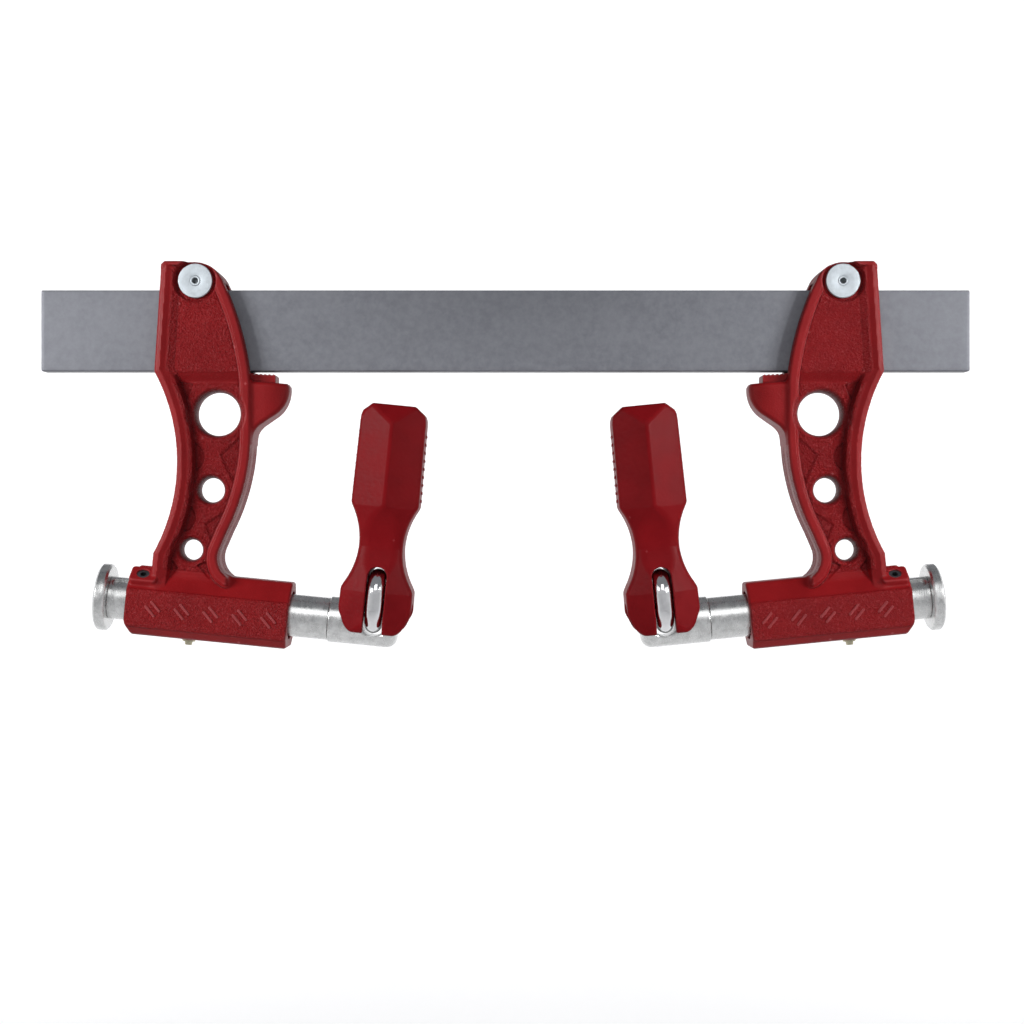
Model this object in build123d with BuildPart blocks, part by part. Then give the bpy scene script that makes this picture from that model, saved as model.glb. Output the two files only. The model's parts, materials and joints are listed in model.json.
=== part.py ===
"""Spreading bar clamp: two cast arms that slide on a flat bar, each with a screw-driven pressure pad.

Millimetres. X runs along the bar, Z is up, Y is the clamp's thickness. The origin is the centre of the bar.
The left arm and its spindle are drawn in place, and each right-hand piece is the same piece turned half
round about the vertical line x = TURN_X.
"""

from build123d import *
from math import cos, radians, sin
import os

os.makedirs("parts", exist_ok=True)

# ---- driving dimensions ----
BAR_LENGTH = 459.0
BAR_HEIGHT = 40.0
BAR_THICK = 10.0
BAR_TOP = BAR_HEIGHT / 2
TURN_X = 6.7  # the arms are each other's half turn about this line

AXLE_X = -152.4
AXLE_R = 4.0
AXLE_Z = BAR_TOP + AXLE_R + 0.02
AXLE_HALF = 8.6
DISC_R = 8.5
DISC_THICK = 1.6
DISC_CHAMFER = 0.35
SPOT_R = 10.4
RIVET_R = 2.5
RIVET_BORE_R = 1.4

RIM_HALF = 13.0  # half thickness of the arm over its rims
PANEL_HALF = 10.0  # over the panel beside the bar
WEB_HALF = 7.2  # over the web round the lightening holes
POCKET_HALF = 5.0  # over the cast pockets in that web
RIM_WIDTH = 2.6
RIM_SLOPE = 2.4  # how far the slope inside a rim reaches
RIM_TAPER = 38  # draft angles of the cast steps, in degrees
WEB_TAPER = 35
POCKET_TAPER = 20
RING_WIDTH = 2.6  # raised ring round each lightening hole
RING_HEIGHT = 1.0
SLOT_HALF = 5.4  # half width of the bar's slot
NOSE_HALF = 10.8
TEETH_HALF = 6.5
HOLES = ((-142.1, -41.1, 10.7), (-145.2, -78.8, 6.0), (-155.0, -108.3, 5.0))  # x, z, radius

TILT = 5.63  # degrees that the spindle falls towards the handle
MOUTH_X = -186.0  # centre of the housing's outer face
MOUTH_Z = -133.0
HOUSING_LENGTH = 80.0
HOUSING_HALF = 15.0  # half the width between its two flat sides
BORE_R = 10.55
PISTON_R = 10.5
PISTON_START = -10.0
PISTON_END = 40.0
PAD_R = 16.5
PAD_THICK = 5.5
SPIGOT_R = 6.0
KEY_ANGLE = 38.0  # each keyway's angle from the top of the piston
KEY_WIDTH = 5.0
KEY_FLOOR_R = 9.0
SET_SCREW_AT = 7.0
SET_SCREW_R = 3.0
BOSS_R = 18.0
SCREW_HOLE_DEPTH = 9.0
SET_SCREW_TOP = BOSS_R - 0.6
SET_SCREW_LENGTH = 6.2
KEY_PIN_TOP = BOSS_R - 6.0  # the screw's thin end starts here and runs in the keyway
SOCKET_R = 1.6
SOCKET_DEPTH = 3.2
SCREW_R = 6.0
NUT_R = 8.6
NUT_START = 24.0
COLLAR_START = 51.0
COLLAR_END = 55.95
COLLAR_R = 10.2
WASHER_R = 10.4
SHANK_R = 6.5
BUSH_START = 58.0
BUSH_END = 99.0
HEAD_START = 99.15
HEAD_R = 11.3
HEAD_BEYOND = 12.0  # the head's end beyond the handle's pivot
PIVOT_AT = 121.6
CROSS_HOLE_R = 5.9
DOWEL_R = 1.5
DOWEL_AT = 105.0

LINK_R = 4.3
LINK_HALF = 15.8
LINK_TOP = 23.2
LINK_BEND = 8.0
LINK_STRAIGHT = LINK_HALF - LINK_BEND
LINK_SLOT = 4.75
CAVITY_R = 14.5
NOTCH_R = 11.5
CROSS_PIN_R = 2.0
CROSS_PIN_Z = 16.8
NIPPLE_AT = 30.4
NIPPLE_R = 2.5

RUNNING = 0.05  # radial clearance of a running fit

# ---- the spindle's own directions and planes ----
ALONG = Vector(cos(radians(TILT)), 0, -sin(radians(TILT)))
UP = Vector(sin(radians(TILT)), 0, cos(radians(TILT)))
SIDE = Vector(0, 1, 0)
MOUTH = Vector(MOUTH_X, 0, MOUTH_Z)
SPINDLE = Axis(tuple(MOUTH), tuple(ALONG))
PIVOT = MOUTH + ALONG * PIVOT_AT


def section(distance):
    """Plane square to the spindle, this far from the housing's outer face: local x is Y, local y is up."""
    return Plane(origin=MOUTH + ALONG * distance, x_dir=SIDE, z_dir=ALONG)


def profile():
    """Plane through the spindle: local x runs along it from the housing's outer face, local y is up."""
    return Plane(origin=MOUTH, x_dir=ALONG, z_dir=-SIDE)


def handle_profile():
    """The same plane with its origin at the handle's pivot."""
    return Plane(origin=PIVOT, x_dir=ALONG, z_dir=-SIDE)


def handle_section(height):
    """Plane square to the handle, this far above its pivot: local x runs along the spindle, local y is Y."""
    return Plane(origin=PIVOT + UP * height, x_dir=ALONG, z_dir=UP)


def radial(distance, angle, radius):
    """Plane that faces outward, this far from the spindle, at an angle from its top towards -Y."""
    outward = UP * cos(radians(angle)) - SIDE * sin(radians(angle))
    return Plane(origin=MOUTH + ALONG * distance + outward * radius, x_dir=ALONG, z_dir=outward)


def turned(points):
    """Revolves an outline of (distance, radius) points about the spindle, inside a BuildPart block."""
    with BuildSketch(profile()) as outline:
        with BuildLine():
            Polyline(*points, close=True)
        make_face()
    revolve(outline.sketch, axis=SPINDLE)


def export_pair(piece, name):
    """Writes the left piece, and its half-turned twin as the right one."""
    piece.label = f"{name}_left"
    export_step(piece, f"parts/{name}_left.step")
    twin = piece.rotate(Axis((TURN_X, 0, 0), (0, 0, 1)), 180)
    twin.label = f"{name}_right"
    export_step(twin, f"parts/{name}_right.step")


# ---- bar ----
with BuildPart() as bar:
    Box(BAR_LENGTH, BAR_THICK, BAR_HEIGHT)
    chamfer(bar.edges().filter_by(Axis.X), 0.5)
    chamfer(bar.faces().filter_by(Axis.X).edges(), 0.4)
bar.part.label = "bar"
export_step(bar.part, "parts/bar.step")

# ---- arm ----
OUTER_TOP = (-168.9, 31.8)
OUTER_KINK = (-172.3, -20.6)
OUTER_FOOT = (-172.8, -109.7)
INNER_TOP = (-139.8, 25.9)
INNER_NOSE = (-125.3, -25.5)
INNER_WAIST = (-125.0, -50.0)
INNER_LOW = (-136.9, -99.7)
INNER_HEEL = (-140.3, -107.6)
INNER_FOOT = (-136.5, -121.6)
FOOT_Z = -127.0
WEB_TOP = -21.0  # the panel ends and the thinner web starts


with BuildSketch() as arm_outline:
    with BuildLine():
        Line((-167.2, 33.5), (-155.4, 33.5))
        ThreePointArc((-155.4, 33.5), (-145.6, 31.6), INNER_TOP)
        ThreePointArc(INNER_TOP, (-130.6, 2.0), INNER_NOSE)
        Line(INNER_NOSE, INNER_WAIST)
        ThreePointArc(INNER_WAIST, (-128.3, -77.0), INNER_LOW)
        Line(INNER_LOW, INNER_HEEL)
        ThreePointArc(INNER_HEEL, (-141.2, -114.5), INNER_FOOT)
        Line(INNER_FOOT, (-136.5, FOOT_Z))
        Line((-136.5, FOOT_Z), (-174.5, FOOT_Z))
        Line((-174.5, FOOT_Z), OUTER_FOOT)
        ThreePointArc(OUTER_FOOT, (-161.2, -65.5), OUTER_KINK)
        Line(OUTER_KINK, OUTER_TOP)
        Line(OUTER_TOP, (-167.2, 33.5))
    make_face()

# the ground inside the rims, at the rims' face and at the pockets' floor
with BuildSketch() as inside_rims:
    add(arm_outline.sketch)
    offset(amount=-RIM_WIDTH, mode=Mode.REPLACE)
with BuildSketch() as floor_area:
    add(arm_outline.sketch)
    offset(amount=-RIM_WIDTH - RIM_SLOPE, mode=Mode.REPLACE)
with BuildSketch() as lower_area:
    add(floor_area.sketch)
    with Locations((-150, WEB_TOP)):
        Rectangle(120, 120, align=(Align.CENTER, Align.MIN), mode=Mode.SUBTRACT)

# hollows cast in the web between the lightening holes
with BuildSketch() as hollows:
    for x, z, r in ((-158.6, -62.6, 10.2), (-163.2, -92.4, 10.4)):
        with Locations((x, z)):
            Circle(r)
    for corners in (
        ((-140.6, -61.5), (-130.0, -50.0), (-131.0, -62.0), (-133.4, -75.0)),
        ((-148.2, -97.0), (-137.4, -89.0), (-140.6, -97.0), (-144.4, -105.4)),
        ((-163.0, -23.0), (-154.6, -24.5), (-155.0, -30.0), (-158.2, -38.0)),
        ((-150.2, -115.8), (-144.6, -113.6), (-145.6, -121.0)),
        ((-168.5, -108.5), (-161.6, -116.6), (-167.0, -122.0)),
    ):
        with BuildLine():
            Polyline(*corners, close=True)
        make_face()
    add(floor_area.sketch, mode=Mode.INTERSECT)

SLOT_OUTLINE = (
    (-180.0, 21.6),
    (-160.0, 21.6),
    (-158.6, 28.6),
    (-146.2, 28.6),
    (-144.8, 23.6),
    (-110.0, 23.6),
    (-110.0, -21.5),
    (-126.0, -21.5),
    (-154.0, -20.4),
    (-154.0, -20.04),
    (-180.0, -20.04),
)
HOUSING_OUTLINE = (
    (6.0, 16.3),
    (HOUSING_HALF, 6.0),
    (HOUSING_HALF, -11.7),
    (10.4, -16.3),
    (-10.4, -16.3),
    (-HOUSING_HALF, -11.7),
    (-HOUSING_HALF, 6.0),
    (-6.0, 16.3),
)
TOOTH_PITCH = 2.1
TOOTH_HEIGHT = 0.6
JAW_START = -126.0
JAW_END = -113.4
JAW_TOP = -21.15
JAW_SLOPE = 0.05  # the jaw falls away from the bar, and lies flat on it once the arm has rocked
JAW_FOOT = -27.5
HOUSING_CHAMFER = 1.0
END_CUT = ((-1.0, -9.0), (4.6, -18.0), (-1.0, -18.0))  # the lower corner of the housing's outer end
BOSS_LENGTH = 13.4
BOSS_WIDTH = 10.6
BOSS_DEPTH = 6.5
NIPPLE_BOSS_R = 4.4
NIPPLE_BOSS_END = 17.0
NIPPLE_BOSS_DEPTH = 3.0
WIPER_START = 1.4
WIPER_GROOVE = 2.0
WIPER_GROOVE_R = 12.2
WIPER_R = 12.1
MOUTH_START = 72.0
MOUTH_R = 11.9
MARK_COUNT = 5
MARK_START = 14.0
MARK_PITCH = 14.2
MARK_GAP = 2.6  # between the two strokes of one mark
MARK_UP = -2.6
MARK_LENGTH = 7.0
MARK_WIDTH = 1.1
MARK_HEIGHT = 0.45

# spindle housing, with its ends chamfered
with BuildPart() as housing:
    with BuildSketch(section(0)):
        Polygon(*HOUSING_OUTLINE, align=None)
    extrude(amount=HOUSING_LENGTH)
    ends = housing.faces().sort_by(SPINDLE)
    chamfer(ends[0].edges() + ends[-1].edges(), HOUSING_CHAMFER)
    with BuildSketch(profile()):
        Polygon(*END_CUT, align=None)
    extrude(amount=20, both=True, mode=Mode.SUBTRACT)

# nose under the bar, narrower towards its tip
with BuildPart() as nose:
    with BuildSketch(Plane.XZ):
        with BuildLine():
            Line((-129.0, -25.0), (-107.8, -26.3))
            ThreePointArc((-107.8, -26.3), (-106.9, -26.8), (-106.7, -27.8))
            ThreePointArc((-106.7, -27.8), (-108.4, -36.2), (-114.4, -42.6))
            Line((-114.4, -42.6), (-120.0, -46.4))
            ThreePointArc((-120.0, -46.4), (-123.4, -50.0), (-124.9, -56.0))
            Line((-124.9, -56.0), (-129.0, -56.0))
            Line((-129.0, -56.0), (-129.0, -25.0))
        make_face()
    extrude(amount=NOSE_HALF, both=True)
    with BuildSketch(Plane.XY.offset(-60.0)):
        with BuildLine():
            Line((-130.0, 0), (-130.0, NOSE_HALF))
            Line((-130.0, NOSE_HALF), (-119.0, NOSE_HALF))
            ThreePointArc((-119.0, NOSE_HALF), (-111.5, 9.2), (-106.0, 5.2))
            Line((-106.0, 5.2), (-106.0, 0))
            Line((-106.0, 0), (-130.0, 0))
        make_face()
        mirror(about=Plane.XZ)
    extrude(amount=40, mode=Mode.INTERSECT)

with BuildPart() as arm:
    with BuildSketch(Plane.XZ):
        add(arm_outline.sketch)
    extrude(amount=RIM_HALF, both=True)
    for side in (-1, 1):
        rim_face = Plane(origin=(0, side * RIM_HALF, 0), x_dir=(1, 0, 0), z_dir=(0, -1, 0))
        panel_face = Plane(origin=(0, side * PANEL_HALF, 0), x_dir=(1, 0, 0), z_dir=(0, -1, 0))
        web_face = Plane(origin=(0, side * WEB_HALF, 0), x_dir=(1, 0, 0), z_dir=(0, -1, 0))
        with BuildSketch(rim_face):
            add(inside_rims.sketch)
        extrude(amount=side * (RIM_HALF - PANEL_HALF), taper=RIM_TAPER, mode=Mode.SUBTRACT)
        with BuildSketch(panel_face):
            add(lower_area.sketch)
        extrude(amount=side * (PANEL_HALF - WEB_HALF), taper=WEB_TAPER, mode=Mode.SUBTRACT)
        with BuildSketch(web_face):
            add(hollows.sketch)
        extrude(amount=side * (WEB_HALF - POCKET_HALF), taper=POCKET_TAPER, mode=Mode.SUBTRACT)
        with BuildSketch(rim_face):
            with Locations((AXLE_X, AXLE_Z)):
                Circle(SPOT_R)
            add(inside_rims.sketch, mode=Mode.INTERSECT)
            with Locations((AXLE_X, AXLE_Z)):
                Circle(DISC_R + 0.4)
        extrude(amount=side * (RIM_HALF - AXLE_HALF), mode=Mode.SUBTRACT)
        # raised rings round the lightening holes
        for x, z, r in HOLES:
            with BuildSketch(web_face):
                with Locations((x, z)):
                    Circle(r + RING_WIDTH)
            extrude(amount=-side * RING_HEIGHT, taper=POCKET_TAPER)
    add(housing.part)
    for angle in (KEY_ANGLE, -KEY_ANGLE):
        with BuildSketch(radial(SET_SCREW_AT + 0.4, angle, BOSS_R)):
            RectangleRounded(BOSS_LENGTH, BOSS_WIDTH, 2.0)
        extrude(amount=-BOSS_DEPTH)
    with BuildSketch(radial(NIPPLE_AT, 180, NIPPLE_BOSS_END)):
        Circle(NIPPLE_BOSS_R)
    extrude(amount=-NIPPLE_BOSS_DEPTH)
    add(nose.part)
    # slot for the bar
    with BuildSketch(Plane.XZ):
        Polygon(*SLOT_OUTLINE, align=None)
    extrude(amount=SLOT_HALF, both=True, mode=Mode.SUBTRACT)
    # serrated jaw on the nose
    with BuildSketch(Plane.XZ):
        with BuildLine():
            teeth = []
            count = int((JAW_END - JAW_START) / TOOTH_PITCH)
            for i in range(count):
                x = JAW_START + i * TOOTH_PITCH
                top = JAW_TOP - JAW_SLOPE * (x - JAW_START)
                teeth += [(x, top - TOOTH_HEIGHT), (x + TOOTH_PITCH * 0.35, top)]
                teeth += [(x + TOOTH_PITCH * 0.65, top)]
            last = JAW_TOP - JAW_SLOPE * (JAW_END - JAW_START) - TOOTH_HEIGHT
            teeth += [(JAW_END, last - 0.2), (JAW_END + 0.3, JAW_FOOT), (JAW_START, JAW_FOOT)]
            Polyline(*teeth, close=True)
        make_face()
    extrude(amount=TEETH_HALF, both=True)
    # lightening holes and the axle's bore
    with BuildSketch(Plane.XZ):
        for x, z, r in HOLES:
            with Locations((x, z)):
                Circle(r)
        with Locations((AXLE_X, AXLE_Z)):
            Circle(AXLE_R + RUNNING)
    extrude(amount=RIM_HALF, both=True, mode=Mode.SUBTRACT)
    # bore, wiper groove and the wide mouth at the handle's end
    with BuildSketch(section(0)):
        Circle(BORE_R)
    extrude(amount=HOUSING_LENGTH, mode=Mode.SUBTRACT)
    with BuildSketch(section(WIPER_START)):
        Circle(WIPER_GROOVE_R)
    extrude(amount=WIPER_GROOVE, mode=Mode.SUBTRACT)
    with BuildSketch(section(MOUTH_START)):
        Circle(MOUTH_R)
    extrude(amount=HOUSING_LENGTH - MOUTH_START, mode=Mode.SUBTRACT)
    for angle in (KEY_ANGLE, -KEY_ANGLE):
        with BuildSketch(radial(SET_SCREW_AT, angle, BOSS_R)):
            Circle(SET_SCREW_R)
        extrude(amount=-SCREW_HOLE_DEPTH, mode=Mode.SUBTRACT)
    with BuildSketch(radial(NIPPLE_AT, 180, NIPPLE_BOSS_END)):
        Circle(NIPPLE_R)
    extrude(amount=-8.0, mode=Mode.SUBTRACT)
    # plain raised strokes, in pairs, on the housing's two flat sides
    for side in (-1, 1):
        flat = Plane(origin=MOUTH + SIDE * side * HOUSING_HALF, x_dir=ALONG, z_dir=SIDE * side)
        with BuildSketch(flat):
            for i in range(MARK_COUNT):
                for k in (-MARK_GAP / 2, MARK_GAP / 2):
                    with Locations((MARK_START + i * MARK_PITCH + k, -side * MARK_UP + side * -k)):
                        SlotOverall(MARK_LENGTH, MARK_WIDTH, rotation=side * 45)
        extrude(amount=MARK_HEIGHT)
export_pair(arm.part, "arm")

# ---- axle: the arm hangs from it, and it rides on the bar's top edge ----
AXLE_PLANE = Plane(origin=(AXLE_X, 0, AXLE_Z), x_dir=(1, 0, 0), z_dir=(0, -1, 0))
with BuildPart() as axle_pin:
    with BuildSketch(AXLE_PLANE):
        Circle(AXLE_R)
        Circle(RIVET_R, mode=Mode.SUBTRACT)
    extrude(amount=AXLE_HALF + RUNNING, both=True)
export_pair(axle_pin.part, "axle_pin")

for side, name in ((1, "axle_disc_front"), (-1, "axle_disc_back")):
    with BuildPart() as axle_disc:
        with BuildSketch(AXLE_PLANE.offset(side * (AXLE_HALF + RUNNING))):
            Circle(DISC_R)
            Circle(RIVET_R, mode=Mode.SUBTRACT)
        extrude(amount=side * DISC_THICK)
        outer = axle_disc.faces().sort_by(Axis.Y)[0 if side > 0 else -1]
        chamfer(outer.edges().sort_by(SortBy.LENGTH)[-1], DISC_CHAMFER)
    export_pair(axle_disc.part, name)

RIVET_END = AXLE_HALF + RUNNING + DISC_THICK + 0.3
with BuildPart() as axle_rivet:
    with BuildSketch(AXLE_PLANE):
        Circle(RIVET_R)
        Circle(RIVET_BORE_R, mode=Mode.SUBTRACT)
    extrude(amount=RIVET_END, both=True)
    chamfer(axle_rivet.edges().filter_by(GeomType.CIRCLE), 0.25)
export_pair(axle_rivet.part, "axle_rivet")

# ---- piston, pad and nut ----
with BuildPart() as piston:
    turned(
        (
            (PISTON_START - PAD_THICK, 0),
            (PISTON_START - PAD_THICK, SPIGOT_R),
            (PISTON_START, SPIGOT_R),
            (PISTON_START, PISTON_R),
            (PISTON_END, PISTON_R),
            (PISTON_END, NUT_R),
            (NUT_START, NUT_R),
            (NUT_START, SCREW_R + 0.8),
            (PISTON_START + 4.0, SCREW_R + 0.8),
            (PISTON_START + 4.0, 0),
        )
    )
    for angle in (KEY_ANGLE, -KEY_ANGLE):
        with BuildSketch(radial(12.5, angle, KEY_FLOOR_R)):
            SlotOverall(43.0, KEY_WIDTH)
        extrude(amount=4.0, mode=Mode.SUBTRACT)
export_pair(piston.part, "piston")

with BuildPart() as pad_disc:
    turned(
        (
            (PISTON_START - PAD_THICK, SPIGOT_R),
            (PISTON_START - PAD_THICK, PAD_R - 1.0),
            (PISTON_START - PAD_THICK + 1.0, PAD_R),
            (PISTON_START - 1.0, PAD_R),
            (PISTON_START, PAD_R - 1.0),
            (PISTON_START, SPIGOT_R),
        )
    )
export_pair(pad_disc.part, "pad_disc")

with BuildPart() as drive_nut:
    turned(
        (
            (NUT_START, SCREW_R + RUNNING),
            (NUT_START, NUT_R),
            (PISTON_END, NUT_R),
            (PISTON_END, SCREW_R + RUNNING),
        )
    )
export_pair(drive_nut.part, "drive_nut")

# ---- parts fixed in the housing ----
with BuildPart() as set_screws:
    for angle in (KEY_ANGLE, -KEY_ANGLE):
        with BuildSketch(radial(SET_SCREW_AT, angle, SET_SCREW_TOP)):
            Circle(SET_SCREW_R)
        extrude(amount=-SET_SCREW_LENGTH)
        with BuildSketch(radial(SET_SCREW_AT, angle, KEY_PIN_TOP)):
            Circle(KEY_WIDTH / 2 - 0.1)
        extrude(amount=-(KEY_PIN_TOP - KEY_FLOOR_R - 0.2))
        with BuildSketch(radial(SET_SCREW_AT, angle, SET_SCREW_TOP)):
            RegularPolygon(SOCKET_R, 6)
        extrude(amount=-SOCKET_DEPTH, mode=Mode.SUBTRACT)
export_pair(set_screws.part, "set_screws")

with BuildPart() as wiper_ring:
    turned(
        (
            (WIPER_START + 0.1, PISTON_R + RUNNING),
            (WIPER_START + 0.1, WIPER_R),
            (WIPER_START + WIPER_GROOVE - 0.1, WIPER_R),
            (WIPER_START + WIPER_GROOVE - 0.1, PISTON_R + RUNNING),
        )
    )
export_pair(wiper_ring.part, "wiper_ring")

with BuildPart() as thrust_washer:
    turned(
        (
            (COLLAR_END + RUNNING, SHANK_R + 0.1),
            (COLLAR_END + RUNNING, WASHER_R),
            (BUSH_START, WASHER_R),
            (BUSH_START, SHANK_R + 0.1),
        )
    )
export_pair(thrust_washer.part, "thrust_washer")

with BuildPart() as gland_bush:
    turned(
        (
            (BUSH_START, SHANK_R + RUNNING),
            (BUSH_START, BORE_R - RUNNING),
            (BUSH_END - 0.4, BORE_R - RUNNING),
            (BUSH_END, BORE_R - 0.4),
            (BUSH_END, SHANK_R + RUNNING),
        )
    )
export_pair(gland_bush.part, "gland_bush")

NIPPLE_FOOT = 12.5  # distances of the nipple's steps from the spindle's axis
NIPPLE_COLLAR = 17.0
NIPPLE_NECK = 17.8
NIPPLE_TIP = 19.6
NIPPLE_COLLAR_R = 3.2
NIPPLE_NECK_R = 2.0
NIPPLE_DUCT_R = 1.3
NIPPLE_MOUTH_R = 0.6
NIPPLE_BALL_R = 1.2
with BuildPart() as grease_nipple:
    with BuildSketch(radial(NIPPLE_AT, 180, NIPPLE_FOOT)):
        Circle(NIPPLE_R)
    extrude(amount=NIPPLE_COLLAR - NIPPLE_FOOT)
    with BuildSketch(radial(NIPPLE_AT, 180, NIPPLE_COLLAR)):
        Circle(NIPPLE_COLLAR_R)
    extrude(amount=NIPPLE_NECK - NIPPLE_COLLAR)
    with BuildSketch(radial(NIPPLE_AT, 180, NIPPLE_NECK)):
        Circle(NIPPLE_NECK_R)
    extrude(amount=NIPPLE_TIP - NIPPLE_NECK, taper=8)
    with BuildSketch(radial(NIPPLE_AT, 180, NIPPLE_FOOT)):
        Circle(NIPPLE_DUCT_R)
    extrude(amount=NIPPLE_TIP - NIPPLE_FOOT - 0.8, mode=Mode.SUBTRACT)
    with BuildSketch(radial(NIPPLE_AT, 180, NIPPLE_TIP)):
        Circle(NIPPLE_MOUTH_R)
    extrude(amount=-2.0, mode=Mode.SUBTRACT)
export_pair(grease_nipple.part, "grease_nipple")

with BuildPart(Plane(origin=MOUTH + ALONG * NIPPLE_AT - UP * (NIPPLE_TIP - 2.2))) as nipple_ball:
    Sphere(NIPPLE_BALL_R)
export_pair(nipple_ball.part, "nipple_ball")

# ---- lead screw and T-head ----
SHANK_END = 111.0
with BuildPart() as lead_screw:
    turned(
        (
            (4.0, 0),
            (4.0, SCREW_R - 1.2),
            (5.2, SCREW_R),
            (COLLAR_START, SCREW_R),
            (COLLAR_START, COLLAR_R),
            (COLLAR_END, COLLAR_R),
            (COLLAR_END, SHANK_R),
            (SHANK_END, SHANK_R),
            (SHANK_END, 0),
        )
    )
    with BuildSketch(radial(DOWEL_AT, 0, 0)):
        Circle(DOWEL_R)
    extrude(amount=HEAD_R + 1.0, both=True, mode=Mode.SUBTRACT)
export_pair(lead_screw.part, "lead_screw")

HEAD_END = PIVOT_AT + HEAD_BEYOND
CROSS_AXIS = Axis(tuple(PIVOT), (0, 1, 0))
with BuildPart() as t_head:
    with BuildSketch(section(HEAD_START)):
        Circle(HEAD_R)
    extrude(amount=HEAD_END - HEAD_START)
    ends = t_head.faces().filter_by(GeomType.PLANE).sort_by(SPINDLE)
    fillet(ends[-1].edges(), 5.5)
    chamfer(ends[0].edges(), 0.7)
    with BuildSketch(section(HEAD_START)):
        Circle(SHANK_R)
    extrude(amount=SHANK_END - HEAD_START + 0.1, mode=Mode.SUBTRACT)
    with BuildSketch(radial(DOWEL_AT, 0, 0)):
        Circle(DOWEL_R)
    extrude(amount=HEAD_R + 1.0, both=True, mode=Mode.SUBTRACT)
    # cross hole, flared at both mouths so that the link can swing
    with BuildSketch(section(PIVOT_AT)) as flare:
        with BuildLine():
            Polyline((0, 0), (12.0, 0), (12.0, 9.2), (9.2, CROSS_HOLE_R), (0, CROSS_HOLE_R), close=True)
        make_face()
        mirror(about=Plane.YZ)
    revolve(flare.sketch, axis=CROSS_AXIS, mode=Mode.SUBTRACT)
export_pair(t_head.part, "t_head")

with BuildPart() as head_dowel:
    with BuildSketch(radial(DOWEL_AT, 0, 0)):
        Circle(DOWEL_R)
    extrude(amount=HEAD_R - 0.25, both=True)
export_pair(head_dowel.part, "head_dowel")

# ---- handle, link and cross pin ----
with BuildPart() as ring_link:
    with BuildLine(section(PIVOT_AT)) as link_path:
        Line((0, 0), (LINK_STRAIGHT, 0))
        CenterArc((LINK_STRAIGHT, LINK_BEND), LINK_BEND, -90, 90)
        Line((LINK_HALF, LINK_BEND), (LINK_HALF, LINK_TOP - LINK_BEND))
        CenterArc((LINK_STRAIGHT, LINK_TOP - LINK_BEND), LINK_BEND, 0, 90)
        Line((LINK_STRAIGHT, LINK_TOP), (-LINK_STRAIGHT, LINK_TOP))
        CenterArc((-LINK_STRAIGHT, LINK_TOP - LINK_BEND), LINK_BEND, 90, 90)
        Line((-LINK_HALF, LINK_TOP - LINK_BEND), (-LINK_HALF, LINK_BEND))
        CenterArc((-LINK_STRAIGHT, LINK_BEND), LINK_BEND, 180, 90)
        Line((-LINK_STRAIGHT, 0), (0, 0))
    with BuildSketch(Plane(origin=PIVOT, x_dir=ALONG, z_dir=SIDE)):
        Circle(LINK_R)
    sweep(path=link_path.wire())
export_pair(ring_link.part, "ring_link")

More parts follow.
